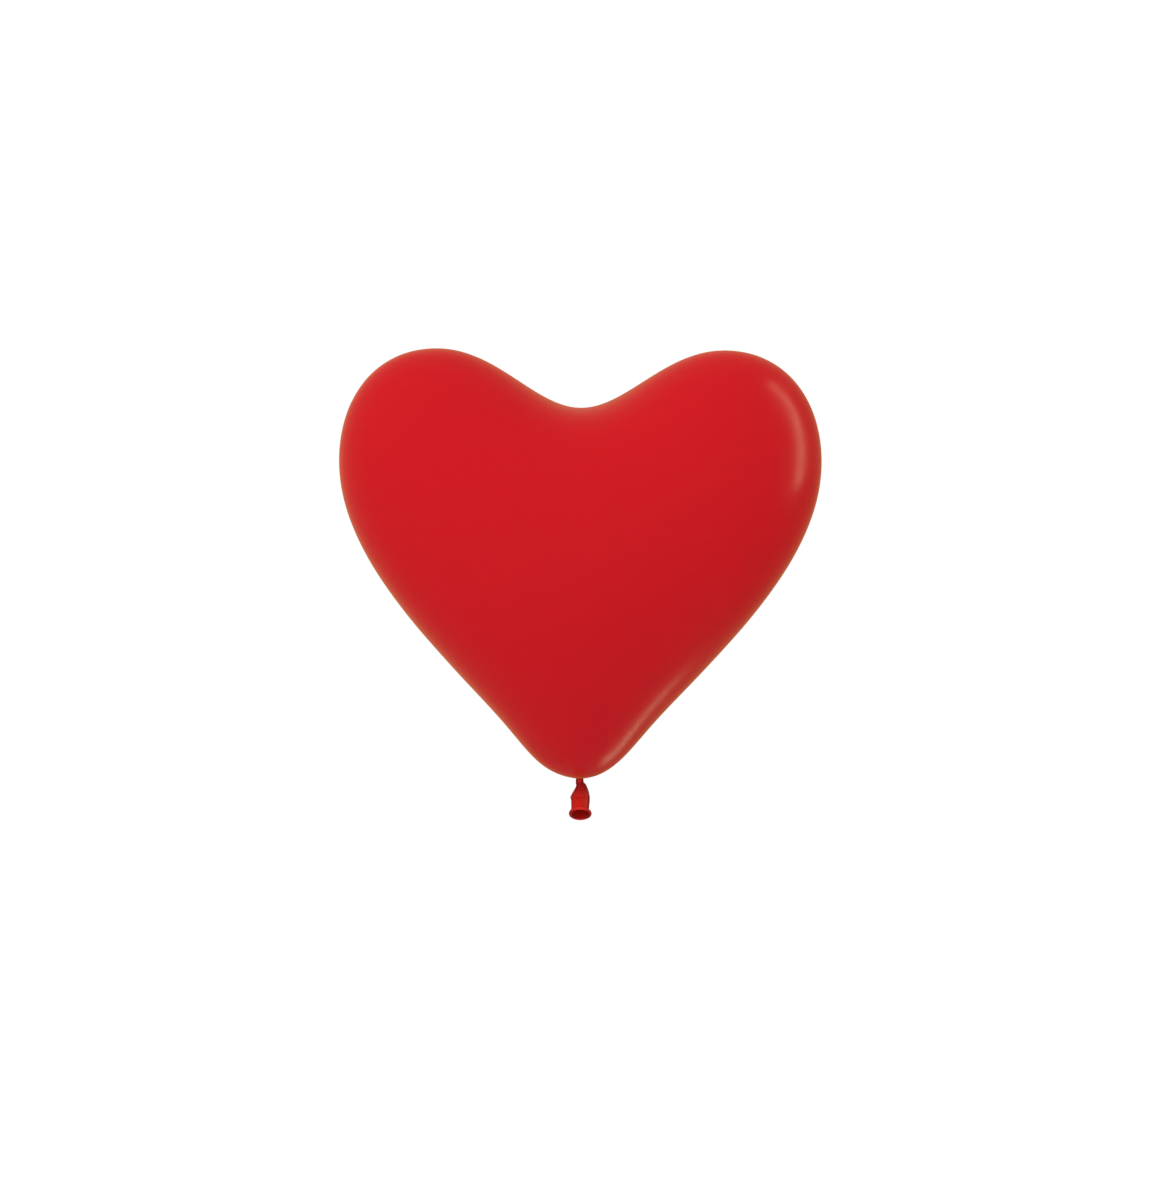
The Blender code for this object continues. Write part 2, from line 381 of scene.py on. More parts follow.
def ray_directions(sizes, centre, hole):
    """Unit vectors from the body's middle, from the cleft down to the throat's hole.

    Towards the middle rows they are spaced as on an ellipse, which puts more of them where the
    rim of the heart curves most.
    """
    start = math.atan(hole / centre)
    fine = np.linspace(start, THROAT_ROWS_END, THROAT_ROWS, endpoint=False)
    coarse = np.linspace(THROAT_ROWS_END, math.pi, BODY_ROWS, endpoint=False)
    up = np.concatenate((fine, coarse))[::-1, None]
    even = np.linspace(0, 2 * math.pi, BODY_COLUMNS, endpoint=False)[None, :]
    bunching = 1 + (sizes.depth / sizes.width - 1) * np.sin(up)
    around = np.arctan2(bunching * np.sin(even), np.cos(even))
    along = (np.sin(up) * np.cos(around), np.sin(up) * np.sin(around), -np.cos(up))
    return np.stack(np.broadcast_arrays(*along), axis=-1)


def ray_lengths(directions, sizes, centre, outline, membrane):
    """How far the film is along each ray.

    Halving finds where the square of the ray's depth meets the membrane function.
    """
    along_x, along_y, along_z = np.moveaxis(directions, -1, 0)
    from_centre = outline - (0.0, centre)
    angles = np.arctan2(from_centre[:, 0], from_centre[:, 1])
    reach = np.interp(
        np.arctan2(np.abs(along_x), along_z), angles, np.linalg.norm(from_centre, axis=1)
    )
    to_outline = reach / np.maximum(np.hypot(along_x, along_z), SMALLEST)
    to_depth = sizes.depth / 2 / np.maximum(np.abs(along_y), SMALLEST)
    far = np.minimum(to_outline, to_depth)
    near = np.zeros_like(far)
    for _ in range(HALVINGS):
        middle = (near + far) / 2
        film = (sizes.depth / 2) ** 2 * membrane(middle * along_x, centre + middle * along_z)
        outside = (middle * along_y) ** 2 > film
        far = np.where(outside, middle, far)
        near = np.where(outside, near, middle)
    return far


def pull_into_throat(grid, sizes, hole, side_step):
    """Draws the film beside the hole down and sideways into the knot and folds it into puckers.

    The drop and the side step are smooth steps of the distance from the hole; the puckers are a
    cosine of the angle round the throat, strongest beside the hole. Also gives, from 0 to 1, how
    deep in a pucker each point is.
    """
    radius = np.hypot(grid[..., 0], grid[..., 1])
    around = np.arctan2(grid[..., 1], grid[..., 0])
    low = grid[..., 2] < sizes.tip_height
    near = np.where(low, 1 - smooth_step(radius, hole, sizes.pucker_reach), 0.0)
    uneven = with_swings(around, around, PUCKER_SPACING)
    folds = np.cos(sizes.puckers * uneven) * with_swings(PUCKER_MEAN, around, PUCKER_HEIGHTS)
    fade = near**2 * smooth_step(radius, 0.0, PUCKER_START * hole)
    funnel = 1 - smooth_step(radius, FUNNEL_SPAN[0] * hole, FUNNEL_SPAN[1] * hole)
    aside = 1 - smooth_step(radius, hole, SIDE_STEP_SPAN * sizes.pucker_reach)
    moved = grid.copy()
    moved[..., 0] += side_step * np.where(low, aside, 0.0)
    moved[..., 2] += sizes.pucker_height * folds * fade - FUNNEL_DEPTH * np.where(low, funnel, 0.0)
    return moved, near**2 * (0.5 - 0.5 * folds)


# ---- The tied neck ----

# How far the neck reaches to the left and to the right of its middle line, in mm, as (depth below
# the throat, reach). The left side comes to a corner at the crease; the right side is round.
LEFT_ABOVE_CREASE = ((2.1, 2.3), (2.7, 2.45), (4.5, 2.2), (6.1, 2.8), (8.3, 4.1), (12.0, 5.95))
LEFT_BELOW_CREASE = ((12.0, 5.95), (13.2, 5.5), (16.0, 5.3), (24.0, 5.25))
RIGHT_ABOVE_SEAM = ((2.1, 2.2), (2.7, 2.9), (3.7, 3.9), (4.6, 4.4), (6.1, 5.05), (8.3, 5.8))
RIGHT_BELOW_SEAM = ((10.8, 6.35), (13.0, 6.5), (16.0, 6.3), (19.0, 6.1), (24.0, 6.0))
RIGHT = RIGHT_ABOVE_SEAM + RIGHT_BELOW_SEAM
BEAD_SIDE_STEP = 0.5 * MM  # the bead's middle to the right of the middle line
NECK_TOP = 2.1 * MM  # depth at which the cone comes out of the knot
KNOT_TOP = 0.1 * MM  # height; the knot's shoulders reach up round the body's puckers
KNOT_FOOT = -3.5 * MM  # height; it reaches down round the top of the cone
SEAM = 8.3 * MM  # where the cone piece meets the sleeve piece, below the throat
BEND_ROUNDING = 3.2 * MM  # the lean comes in over this length on either side of the bend
SLEEVE_INTO_BEAD = 0.35  # of the bead's radius, left between the sleeve's end and the bead's middle
LINE_STEPS = 2000  # of the running sum along the middle line
NECK_COLUMNS = 224
CONE_ROWS = 70
SLEEVE_ROWS = 96
BEAD_ROWS = 72
SHARPEST_ROUND = math.radians(60)  # edges that turn by more than this stay sharp
ROPE_ROWS = 40
ROPE_COLUMNS = 96
KNOT_ROWS = 64
KNOT_COLUMNS = 160

# The cone's pleats. Swings are as in with_swings.
PLEAT_SPACING = ((0.16, 2, 0.8), (0.10, 3, 2.1))  # makes them unevenly spaced
PLEAT_SHIFT = 0.3  # of the pattern round the neck
PLEAT_SHARPNESS = 1.25  # power that narrows a valley
PLEAT_MEAN = 0.7  # of the deepest one's depth
PLEAT_SWING = 0.3  # about that
PLEAT_AT_KNOT = 0.35  # of their full depth, as they come out of the knot
PLEAT_FULL = 5 * MM  # depth at which they are fully deep
PLEAT_LENGTH_MM = 10.2  # the mean one
PLEAT_LENGTHS = ((1.9, 5, 1.2),)  # swings about that
PLEAT_FADE_START = 0.35  # of its length, where a pleat starts to fade

# The shallow dent across the front, where the sleeve bends forward
DENT_SHIFT = 0.05  # round the neck from its front
DENT_DROP = 0.3 * MM  # below the bend
DENT_DEPTH = 0.36 * MM
DENT_HEIGHT = 0.75 * MM
DENT_SPREAD = 0.4  # round the neck, to either side

# The front of the sleeve, kept lighter than the painted shade on its round sides, and the faint
# ripple round the sleeve
LIT_FRONT_SPREAD = 0.75
LIT_FRONT_BEGINS = (7 * MM, 11 * MM)
RIPPLE_SIZE = 0.045 * MM
RIPPLES = 7
RIPPLE_SHIFT = 0.4
RIPPLE_BEGINS = (9 * MM, 14 * MM)

# How much each of them deepens the neck's colour: painted shade on the round sides, in the dent and
# on the right-hand side, and in the pleats partly their own layers of film and partly painted shade
ROUND_SIDE_SHADE = 0.26
PLEAT_LAYERS_AND_SHADE = 0.8
DENT_SHADE = 0.3
RIGHT_EDGE_SHADE = 0.22
RIGHT_EDGE_SHIFT = 0.1
RIGHT_EDGE_SPAN = (0.5, 1.0)  # cosines of the angle from the right, between which it comes in
RIGHT_EDGE_BEGINS = (2 * MM, 5 * MM)
INSIDE_SHADE = 0.9  # painted shade deep inside the neck
INSIDE_FADES = (12 * MM, 22 * MM)  # depths between which the mouth's light reaches in

# The rope of gathered film
ROPE_SQUARENESS = 0.35  # power that rounds its ends; smaller is squarer
ROPE_LOBES = 7
ROPE_WINDING = 2.0  # radians that they turn over its length
ROPE_UNEVENNESS = 0.4  # of their spacing
ROPE_VALLEY = 0.16  # of its radius
ROPE_SHARPNESS = 1.5  # power that narrows a valley
ROPE_TONE = 0.6

# The turn of film that ties the throat
KNOT_BITE = 0.92  # of the rope's radius, where the knot sits on it
KNOT_MEAN = 0.93  # of the section's full width
KNOT_SLANT = 0.9  # radians that its creases lean over the section
KNOT_STEP = 0.10  # of the section's width, where the film overlaps itself
KNOT_STEP_SHIFT = 2.4
KNOT_STEP_SPAN = 0.35
KNOT_CREASES = 15
KNOT_CREASE_DEPTH = 0.035
KNOT_SWELLS = ((0.03, 4, 2.0),)  # swings of the ring's thickness
KNOT_SQUARENESS = (0.8, 0.9)  # powers across and up; under 1 they round the corners off less
KNOT_HEIGHT_SHARE = (0.94, 0.5)  # of the full height, and how much of the creases goes into it
KNOT_LAYERS_AND_SHADE = (0.3, 0.6, 6)  # the wound film's layers all round, painted shade at the sides, and painted shade in the creases' hollows with painted highlight on their tops

# The rolled lip
ROLL_START = 2.0  # angle round the section where the roll's edge lies
ROLL_WANDER = ((0.15, 2, 0.0),)  # swings of that edge
ROLL_STEP = 0.10  # of the roll's radius, which it gains in one turn
ROLL_EDGE = 0.93  # share of the turn after which it drops back
BEAD_WRINKLES = 46
WRINKLE_DEPTH = 0.012  # of the roll's radius
WRINKLE_SLANT = 2.0
BEAD_WANDER = ((0.03, 3, 0.7), (0.02, 5, 0.0))  # swings of the roll's radius
BEAD_LAYERS_AND_SHADE = (0.25, 0.2, 0.35)  # the rolled film's layers all round, painted shade inside the ring, and painted shade at the sides
BEAD_PAINTED_HIGHLIGHT = 0.25  # painted highlight: by which the front is lighter
BEAD_HIGHLIGHT_SPREAD = 0.7


def smooth_reach(depth, around):
    """The neck's outline without its folds: left and right mixed by the cosine of the angle."""
    depth_mm = depth / MM
    crease = LEFT_BELOW_CREASE[0][0]
    left = np.where(
        depth_mm < crease,
        through_stations(LEFT_ABOVE_CREASE, depth_mm),
        through_stations(LEFT_BELOW_CREASE, depth_mm),
    )
    right = through_stations(RIGHT, depth_mm)
    to_right = (1 + np.cos(around)) / 2
    return (left + (right - left) * to_right) * MM


def pleat_valleys(depth, around, pleats):
    """How deep in a pleat each point is, from 0 to 1.

    Pleats are sharp valleys, one less the sine's size, that fan out of the knot. Each fades over
    a length of its own before the crease.
    """
    uneven = with_swings(around, around, PLEAT_SPACING)
    valley = (1 - np.abs(np.sin(pleats / 2 * uneven + PLEAT_SHIFT))) ** PLEAT_SHARPNESS
    strength = PLEAT_MEAN + PLEAT_SWING * np.sin(4 * around + 0.5) * np.cos(around - 1.0)
    length_of_fold = with_swings(PLEAT_LENGTH_MM, uneven, PLEAT_LENGTHS) * MM
    fading = 1 - smooth_step(depth, PLEAT_FADE_START * length_of_fold, length_of_fold)
    return valley * (fading * strength)


def neck_reach(depth, around, sizes):
    """The film's distance from the neck's middle line, and how deep in colour it is, from 0 to 1.

    The smooth outline, less the pleats and less a bell-shaped dent across the front at the bend,
    plus a faint sine ripple round the sleeve.
    """
    folds = pleat_valleys(depth, around, sizes.pleats)
    from_front = np.angle(np.exp(1j * (around - FRONT - DENT_SHIFT)))
    below_dent = depth - sizes.bend_depth - DENT_DROP
    dent = np.exp(-((below_dent / DENT_HEIGHT) ** 2 + (from_front / DENT_SPREAD) ** 2))
    # flat marks the sleeve's front, kept lighter than the painted shade on its round sides.
    flat = np.exp(-((from_front / LIT_FRONT_SPREAD) ** 2)) * smooth_step(depth, *LIT_FRONT_BEGINS)
    wave = np.sin(RIPPLES * around + RIPPLE_SHIFT)
    ripple = RIPPLE_SIZE * wave * smooth_step(depth, *RIPPLE_BEGINS)
    deepening = PLEAT_AT_KNOT + (1 - PLEAT_AT_KNOT) * smooth_step(depth, NECK_TOP, PLEAT_FULL)
    depth_of_fold = sizes.pleat_depth * deepening
    reach = smooth_reach(depth, around) - depth_of_fold * folds - DENT_DEPTH * dent + ripple
    # Painted shade on the right-hand side, in the dent and on the round sides; in the pleats the
    # colour is partly their own layers of film and partly painted shade.
    to_right = smooth_step(np.cos(around - RIGHT_EDGE_SHIFT), *RIGHT_EDGE_SPAN)
    edge = RIGHT_EDGE_SHADE * to_right * smooth_step(depth, *RIGHT_EDGE_BEGINS)
    tone = ROUND_SIDE_SHADE * (1 - flat) + PLEAT_LAYERS_AND_SHADE * folds + DENT_SHADE * dent + edge
    return reach, np.clip(tone, 0.0, 1.0)


def middle_line(depths, sizes, side_step):
    """Points and directions of the neck's middle line.

    It runs straight down and leans forward by the tilt round the bend; the lean is a smooth
    step of the depth, and the points are its running sum.
    """
    fine = np.linspace(0.0, depths.max(), LINE_STEPS)
    bend = sizes.bend_depth
    lean = sizes.sleeve_tilt * smooth_step(fine, bend - BEND_ROUNDING, bend + BEND_ROUNDING)
    step = fine[1] - fine[0]
    forward = np.concatenate(((0.0,), np.cumsum(-np.sin(lean[:-1]) * step)))
    down = np.concatenate(((0.0,), np.cumsum(-np.cos(lean[:-1]) * step)))
    along = np.interp(depths, fine, lean)
    aside = np.full_like(depths, side_step)
    places = (aside, np.interp(depths, fine, forward), np.interp(depths, fine, down))
    points = np.stack(places, -1)
    ahead = np.stack((np.zeros_like(depths), -np.cos(along), np.sin(along)), -1)
    return points, ahead


def neck_grid(depths, sizes):
    """The neck's outer surface on a grid of depth and angle, and how deep in colour it is."""
    around = np.linspace(0, 2 * math.pi, NECK_COLUMNS, endpoint=False)[None, :]
    depth = depths[:, None]
    reach, tone = neck_reach(*np.broadcast_arrays(depth, around), sizes)
    points, ahead = middle_line(depths, sizes, sizes.side_step)
    right = np.array((1.0, 0.0, 0.0))
    across = (reach * np.cos(around))[..., None] * right
    grid = points[:, None, :] + across - (reach * np.sin(around))[..., None] * ahead[:, None, :]
    return grid, tone


def rope_grid(sizes):
    """The rope of gathered film: a rounded rod with lobes that wind slowly round it."""
    rows = np.linspace(0, 1, ROPE_ROWS)[:, None]
    around = np.linspace(0, 2 * math.pi, ROPE_COLUMNS, endpoint=False)[None, :]
    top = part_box("throat_core")[1][2]
    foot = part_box("throat_core")[0][2]
    turn = math.pi * rows
    height = (top + foot) / 2 + (top - foot) / 2 * np.cos(turn)
    barrel = np.sin(turn) ** ROPE_SQUARENESS
    winding = ROPE_LOBES * around + ROPE_WINDING * rows
    ridge = np.abs(np.sin(winding / 2 + ROPE_UNEVENNESS * np.sin(around)))
    lobes = 1 - ROPE_VALLEY * (1 - ridge) ** ROPE_SHARPNESS
    radius = sizes.rope_radius * barrel * lobes
    aside = sizes.side_step
    grid = (aside + radius * np.cos(around), radius * np.sin(around), height + 0 * around)
    return np.stack(grid, axis=-1)[1:-1], (aside, 0.0, float(top)), (aside, 0.0, float(foot))


def signed_power(values, power):
    return np.sign(values) * np.abs(values) ** power


def knot_grid(sizes):
    """The turn of film round the throat, and how deep in colour it is.

    A ring whose section is a flattened circle; its film overlaps itself along one slanting step
    and is drawn into fine slanting creases.
    """
    section = np.linspace(0, 2 * math.pi, KNOT_ROWS, endpoint=False)[:, None]
    around = np.linspace(0, 2 * math.pi, KNOT_COLUMNS, endpoint=False)[None, :]
    bore = sizes.rope_radius * KNOT_BITE
    half_width = (sizes.knot_radius - bore) / 2
    middle = (KNOT_FOOT + KNOT_TOP) / 2
    half_height = (KNOT_TOP - KNOT_FOOT) / 2
    slant = around + KNOT_SLANT * np.cos(section)
    past_step = np.mod(slant + KNOT_STEP_SHIFT, 2 * math.pi)
    step = KNOT_STEP * smooth_step(past_step, 0.0, KNOT_STEP_SPAN)
    fine = KNOT_CREASE_DEPTH * np.sin(KNOT_CREASES * slant + np.sin(3 * around))
    creases = with_swings(fine, around, KNOT_SWELLS)
    swell = KNOT_MEAN + step + creases
    across = signed_power(np.cos(section), KNOT_SQUARENESS[0])
    up = signed_power(np.sin(section), KNOT_SQUARENESS[1])
    radius = bore + half_width + half_width * across * swell
    height_share = KNOT_HEIGHT_SHARE[0] + KNOT_HEIGHT_SHARE[1] * creases
    height = middle + half_height * up * height_share
    aside = sizes.side_step
    grid = np.stack((aside + radius * np.cos(around), radius * np.sin(around), height), axis=-1)
    all_round, shaded_sides, crease_shading = KNOT_LAYERS_AND_SHADE
    # The wound film's layers all round, painted shade on the sides and in the creases' hollows, and
    # painted highlight on the creases' tops.
    tone = all_round + shaded_sides * np.cos(around) ** 2 - crease_shading * creases
    return grid[::-1], np.clip(tone, 0.0, 1.0)


def bead_grid(sizes):
    """The rolled lip, a spiral section carried round the mouth, and how deep in colour it is.

    The roll's radius grows by a tenth in one turn, which leaves one edge along it, and slanting
    wrinkles run round it where the rolled film is drawn tight.
    """
    ends = np.array((0.0, sizes.bend_depth + sizes.sleeve_length))
    points, ahead = middle_line(ends, sizes, sizes.side_step + BEAD_SIDE_STEP)
    middle, forward = points[-1], ahead[-1]
    right = np.array((1.0, 0.0, 0.0))
    axis = np.cross(forward, right)
    section = np.linspace(0, 2 * math.pi, BEAD_ROWS, endpoint=False)[:, None]
    around = np.linspace(0, 2 * math.pi, NECK_COLUMNS, endpoint=False)[None, :]
    past_edge = with_swings(section - ROLL_START, around, ROLL_WANDER)
    turn = np.mod(past_edge, 2 * math.pi) / (2 * math.pi)
    spiral = 1 - ROLL_STEP + ROLL_STEP * turn - ROLL_STEP * smooth_step(turn, ROLL_EDGE, 1.0)
    slanting = np.sin(BEAD_WRINKLES * around + WRINKLE_SLANT * section)
    wrinkles = WRINKLE_DEPTH * slanting * np.cos(section / 2) ** 2
    radius = sizes.bead_radius * (spiral + wrinkles) * with_swings(1, around, BEAD_WANDER)
    ring = sizes.bead_ring + radius * np.cos(section)
    lift = radius * np.sin(section)
    outward = np.cos(around)[..., None] * right - np.sin(around)[..., None] * forward
    grid = middle + ring[..., None] * outward + lift[..., None] * axis
    # The rolled film's layers, with painted shade inside the ring and at the sides, less a painted
    # highlight on the front.
    all_round, shaded_inside_ring, shaded_sides = BEAD_LAYERS_AND_SHADE
    thick = all_round + shaded_inside_ring * np.abs(np.sin(section / 2)) + shaded_sides * np.cos(around) ** 2
    from_front = np.angle(np.exp(1j * (around - FRONT)))
    front_highlight = BEAD_PAINTED_HIGHLIGHT * np.exp(-((from_front / BEAD_HIGHLIGHT_SPREAD) ** 2))
    return grid[::-1], np.clip(thick - front_highlight, 0.0, 1.0)


# ---- Materials ----

CLOUD_SIZE = 14 * MM  # of the faint cloudiness
CLOUD_LOW, CLOUD_HIGH = 0.3, 0.7  # between these the noise does nearly all its changes
CLOUD_TONE = 0.07  # by which it shifts the colour, either way
CLOUD_GLOSS = 0.03  # by which it shifts the roughness, either way
SKIN_SIZE = 1.6 * MM  # of the orange-peel relief
SKIN_HEIGHT = 0.006 * MM
SKIN_STRENGTH = 0.5
RUBBER_IOR = 1.5
BLOOM_SPREAD = 0.3  # sheen roughness of the bloom


def add_node(tree, kind, values=None, links=None, **settings):
    """Adds a node: settings are its own options, values its constant inputs, links its fed ones."""
    node = tree.nodes.new(kind)
    for name, value in settings.items():
        setattr(node, name, value)
    for name, value in (values or {}).items():
        node.inputs[name].default_value = value
    for name, output in (links or {}).items():
        tree.links.new(output, node.inputs[name])
    return node


def with_alpha(rgb):
    return (*rgb, 1.0)


def dyed_latex(
    name, light, deep, layer, roughness, light_through, specular, bloom, bloom_tint
):
    """Natural rubber dipped on a smooth former, dyed through, then washed and dried.

    The film takes its depth of colour from its thickness, and from the painted shade and painted
    highlight that the layer also carries: layer, an attribute of the surface, runs from 0 for the
    lighter colour to 1 for the deeper one. Pigment that settled unevenly while the
    dip dried leaves a faint cloudiness, and the dried skin has an orange-peel relief a few
    thousandths of a millimetre high, which softens its reflections. Light that shines through
    keeps the film bright where it faces away from the lamps.
    """
    material = bpy.data.materials.new(name)
    material.use_nodes = True
    tree = material.node_tree
    tree.nodes.clear()
    place = add_node(tree, "ShaderNodeTexCoord").outputs["Object"]
    cloud = add_node(
        tree,
        "ShaderNodeTexNoise",
        values={"Scale": 1 / CLOUD_SIZE, "Detail": 2.0, "Roughness": 0.5},
        links={"Vector": place},
    )
    uneven = add_node(
        tree,
        "ShaderNodeMapRange",
        values={
            "From Min": CLOUD_LOW,
            "From Max": CLOUD_HIGH,
            "To Min": -CLOUD_TONE,
            "To Max": CLOUD_TONE,
        },
        links={"Value": cloud.outputs["Fac"]},
    )
    thickness = add_node(tree, "ShaderNodeAttribute", attribute_name=layer)
    depth = add_node(
        tree,
        "ShaderNodeMath",
        operation="ADD",
        use_clamp=True,
        links={0: thickness.outputs["Fac"], 1: uneven.outputs["Result"]},
    )
    tint = add_node(
        tree,
        "ShaderNodeMix",
        data_type="RGBA",
        values={6: with_alpha(light), 7: with_alpha(deep)},
        links={0: depth.outputs["Value"]},
    )
    skin = add_node(
        tree,
        "ShaderNodeTexNoise",
        values={"Scale": 1 / SKIN_SIZE, "Detail": 1.0},
        links={"Vector": place},
    )
    relief = add_node(
        tree,
        "ShaderNodeBump",
        values={"Strength": SKIN_STRENGTH, "Distance": SKIN_HEIGHT},
        links={"Height": skin.outputs["Fac"]},
    )
    gloss = add_node(
        tree,
        "ShaderNodeMapRange",
        values={
            "From Min": CLOUD_LOW,
            "From Max": CLOUD_HIGH,
            "To Min": roughness - CLOUD_GLOSS,
            "To Max": roughness + CLOUD_GLOSS,
        },
        links={"Value": cloud.outputs["Fac"]},
    )
    rubber = add_node(
        tree,
        "ShaderNodeBsdfPrincipled",
        values={
            "Metallic": 0.0,
            "IOR": RUBBER_IOR,
            "Specular IOR Level": specular,
            "Sheen Weight": bloom,
            "Sheen Roughness": BLOOM_SPREAD,
            "Sheen Tint": with_alpha(bloom_tint),
        },
        links={
            "Base Color": tint.outputs[2],
            "Roughness": gloss.outputs["Result"],
            "Normal": relief.outputs["Normal"],
        },
    )
    through = add_node(tree, "ShaderNodeBsdfTranslucent", links={"Color": tint.outputs[2]})
    film = add_node(
        tree,
        "ShaderNodeMixShader",
        values={0: light_through},
        links={1: rubber.outputs["BSDF"], 2: through.outputs["BSDF"]},
    )
    add_node(tree, "ShaderNodeOutputMaterial", links={"Surface": film.outputs["Shader"]})
    return material


# ---- One operator for each piece ----


class BalloonOperator(bpy.types.Operator):
    """What the balloon's operators share."""

    bl_options = {"REGISTER", "UNDO"}


class MakeHeartFilm(BalloonOperator):
    """Make the inflated body's film, puckered where it enters the knot"""

    bl_idname = "balloon.heart_film"
    bl_label = "Heart film"

    def execute(self, context):
        sizes = context.scene.balloon_body
        finish = context.scene.balloon_finish
        neck = context.scene.balloon_neck
        hole = neck.rope_radius
        centre = RAYS_START * (sizes.height - sizes.cleft_drop)
        outline = half_outline(sizes)
        membrane = membrane_function(outline, centre, sizes.height)
        directions = ray_directions(sizes, centre, hole)
        lengths = ray_lengths(directions, sizes, centre, outline, membrane)
        grid = directions * lengths[..., None]
        grid[..., 2] += centre
        grid, pucker_shade = pull_into_throat(grid, sizes, hole, neck.side_step)
        # The thickness layer is the film's thickness, fuller towards the throat, plus painted shade
        # in the puckers' hollows beside the throat.
        down = 1 - grid[..., 2] / (COLOUR_SPAN * sizes.height)
        thickness = np.clip(down, 0.0, 1.0) ** COLOUR_FADE + PUCKER_PAINTED_SHADE * pucker_shade
        material = dyed_latex(
            "stretched_latex",
            finish.stretched,
            finish.full,
            "thickness",
            roughness=0.27,
            light_through=0.12,
            specular=0.025,
            bloom=1.0,
            bloom_tint=finish.rim,
        )
        cleft = (0.0, 0.0, sizes.height - sizes.cleft_drop)
        throat = tuple(grid[-1].mean(axis=0))
        film = add_surface(
            "heart_film",
            grid,
            material,
            first_pole=cleft,
            last_pole=throat,
            layers={"thickness": np.clip(thickness, 0.0, 1.0)},
        )
        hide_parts("heart_envelope")
        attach(film, "envelope")
        return {"FINISHED"}


class MakeThroatRope(BalloonOperator):
    """Make the rope of gathered film that passes through the knot"""

    bl_idname = "balloon.throat_rope"
    bl_label = "Throat rope"

    def execute(self, context):
        finish = context.scene.balloon_finish
        grid, top, foot = rope_grid(context.scene.balloon_neck)
        material = neck_latex("gathered_latex", finish, roughness=0.30, light_through=0.1)
        rope = add_surface(
            "throat_rope",
            grid,
            material,
            first_pole=top,
            last_pole=foot,
            layers={"tone": np.full(grid.shape[:2], ROPE_TONE)},
        )
        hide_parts("throat_core")
        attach(rope, "knot")
        return {"FINISHED"}


class MakeKnotTurn(BalloonOperator):
    """Make the turn of film that ties the throat"""

    bl_idname = "balloon.knot_turn"
    bl_label = "Knot turn"

    def execute(self, context):
        finish = context.scene.balloon_finish
        grid, tone = knot_grid(context.scene.balloon_neck)
        material = neck_latex("wound_latex", finish, roughness=0.4, light_through=0.1)
        turn = add_surface("knot_turn", grid, material, closed_rows=True, layers={"tone": tone})
        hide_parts("knot_wrap")
        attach(turn, "knot")
        return {"FINISHED"}


class MakePleatedCone(BalloonOperator):
    """Make the cone of pleated film below the knot"""

    bl_idname = "balloon.pleated_cone"
    bl_label = "Pleated cone"

    def execute(self, context):
        depths = np.linspace(NECK_TOP, SEAM, CONE_ROWS)
        cone = add_neck_film("pleated_cone", depths, "pleated_latex", context)
        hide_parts("neck_gather")
        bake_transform(cone)
        return {"FINISHED"}


class MakeNeckSleeve(BalloonOperator):
    """Make the straight neck tube, creased where it leans forward"""

    bl_idname = "balloon.neck_sleeve"
    bl_label = "Neck sleeve"

    def execute(self, context):
        sizes = context.scene.balloon_neck
        into_bead = SLEEVE_INTO_BEAD * sizes.bead_radius
        deepest = sizes.bend_depth + sizes.sleeve_length - into_bead
        depths = np.linspace(SEAM, deepest, SLEEVE_ROWS)
        sleeve = add_neck_film("neck_sleeve_film", depths, "relaxed_latex", context)
        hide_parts("neck_sleeve")
        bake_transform(sleeve)
        return {"FINISHED"}


class MakeMouthBead(BalloonOperator):
    """Make the rolled lip round the mouth"""

    bl_idname = "balloon.mouth_bead"
    bl_label = "Mouth bead"

    def execute(self, context):
        finish = context.scene.balloon_finish
        grid, tone = bead_grid(context.scene.balloon_neck)
        material = neck_latex("rolled_latex", finish, roughness=0.35, light_through=0.1)
        bead = add_surface("mouth_bead", grid, material, closed_rows=True, layers={"tone": tone})
        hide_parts("rolled_bead")
        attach(bead, "tail")
        return {"FINISHED"}


def neck_latex(name, finish, roughness, light_through):
    """The thicker, unstretched rubber of the neck, its light colour lifted by painted glow: deeper
    in its folds than on its smooth film, from the folds' layers and from painted shade.
    """
    return dyed_latex(
        name,
        finish.relaxed_with_painted_glow,
        finish.gathered,
        "tone",
        roughness=roughness,
        light_through=light_through,
        specular=0.04,
        bloom=0.0,
        bloom_tint=finish.rim,
    )


def add_neck_film(name, depths, material_name, context):
    """A length of the neck, with both its walls."""
    sizes = context.scene.balloon_neck
    finish = context.scene.balloon_finish
    grid, tone = neck_grid(depths, sizes)
    # Painted shade deep inside the neck, where the mouth's light does not reach.
    up_inside = 1 - smooth_step(depths, *INSIDE_FADES)[:, None]
    inside = np.maximum(tone, INSIDE_SHADE * up_inside)
    material = neck_latex(material_name, finish, roughness=0.45, light_through=0.35)
    piece = add_surface(
        name,
        with_inner_wall(grid, sizes.film),
        material,
        closed_rows=True,
        layers={"tone": np.concatenate((tone, inside[::-1]))},
    )
    piece.data.set_sharp_from_angle(angle=SHARPEST_ROUND)
    return piece


# ---- The studio ----

FLOOR_CORNERS = 96
PLAIN_WHITE = 1.02  # a little over the display's white, so that no trace of grey is left
SENSOR_WIDTH = 36.0  # mm
STRIP_TINT = (1.0, 0.97, 0.6)


